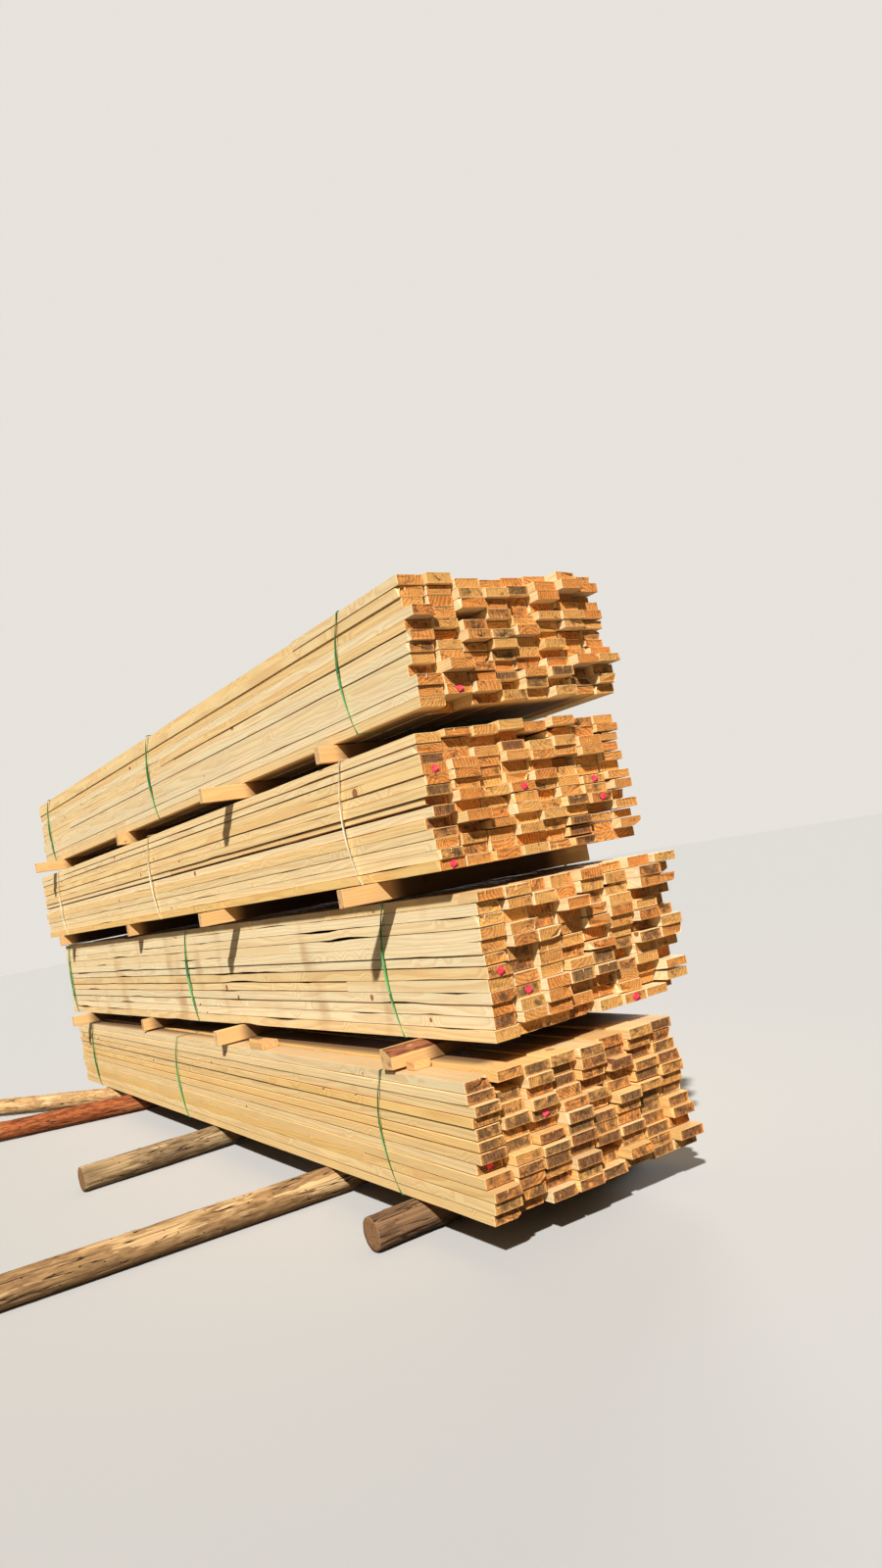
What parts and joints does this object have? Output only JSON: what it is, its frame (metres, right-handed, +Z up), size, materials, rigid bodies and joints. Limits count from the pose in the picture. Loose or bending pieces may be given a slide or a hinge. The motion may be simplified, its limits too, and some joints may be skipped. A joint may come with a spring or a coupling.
{
  "type": "stack of lumber",
  "caption": "Tall stack of strapped packs of sawn pine boards, set one above another on timber spacers and carried off the ground by round pole bearers.",
  "frame": {"origin": "on the ground under the middle of the bottom pack", "axes": "+X along the boards towards their tagged ends, +Y across the packs, +Z up"},
  "size_m": [6.7569, 3.0313, 2.3064],
  "materials": {
    "pine_boards": "rough sawn pine, pale cream sides and orange-brown ends",
    "spacer_timber": "rough sawn pine",
    "green_strap": "green woven plastic strap",
    "pale_strap": "faded pale plastic strap",
    "red_tag": "plain red tag",
    "weathered_pole": "weathered round pole",
    "red_pole": "red-brown round pole",
    "pale_pole": "pale peeled round pole"
  },
  "bodies": {
    "root": {"bottom_pack_column_1": "pine_boards", "bottom_pack_column_2": "pine_boards", "bottom_pack_column_3": "pine_boards", "bottom_pack_column_4": "pine_boards", "bottom_pack_column_5": "pine_boards", "bottom_pack_column_6": "pine_boards", "bottom_pack_column_7": "pine_boards", "bottom_pack_column_8": "pine_boards", "bottom_pack_red_tags": "red_tag", "bottom_pack_straps": "green_strap", "far_pale_pole": "pale_pole", "far_red_pole": "red_pole", "lower_far_middle_spacer": "spacer_timber", "lower_far_spacer": "spacer_timber", "lower_middle_pack_column_1": "pine_boards", "lower_middle_pack_column_2": "pine_boards", "lower_middle_pack_column_3": "pine_boards", "lower_middle_pack_column_4": "pine_boards", "lower_middle_pack_column_5": "pine_boards", "lower_middle_pack_column_6": "pine_boards", "lower_middle_pack_column_7": "pine_boards", "lower_middle_pack_column_8": "pine_boards", "lower_middle_pack_red_tags": "red_tag", "lower_middle_pack_straps": "green_strap", "lower_near_middle_spacer": "spacer_timber", "lower_near_spacer": "spacer_timber", "middle_far_middle_spacer": "spacer_timber", "middle_far_spacer": "spacer_timber", "middle_near_middle_spacer": "spacer_timber", "middle_near_spacer": "spacer_timber", "middle_pole": "weathered_pole", "near_long_pole": "weathered_pole", "near_short_pole": "weathered_pole", "offcut_by_near_spacer": "spacer_timber", "offcut_by_second_spacer": "spacer_timber", "top_pack_column_1": "pine_boards", "top_pack_column_2": "pine_boards", "top_pack_column_3": "pine_boards", "top_pack_column_4": "pine_boards", "top_pack_column_5": "pine_boards", "top_pack_column_6": "pine_boards", "top_pack_column_7": "pine_boards", "top_pack_column_8": "pine_boards", "top_pack_red_tags": "red_tag", "top_pack_straps": "green_strap", "upper_far_middle_spacer": "spacer_timber", "upper_far_spacer": "spacer_timber", "upper_middle_pack_column_1": "pine_boards", "upper_middle_pack_column_2": "pine_boards", "upper_middle_pack_column_3": "pine_boards", "upper_middle_pack_column_4": "pine_boards", "upper_middle_pack_column_5": "pine_boards", "upper_middle_pack_column_6": "pine_boards", "upper_middle_pack_column_7": "pine_boards", "upper_middle_pack_column_8": "pine_boards", "upper_middle_pack_red_tags": "red_tag", "upper_middle_pack_straps": "pale_strap", "upper_near_middle_spacer": "spacer_timber", "upper_near_spacer": "spacer_timber"}
  },
  "joints": []
}
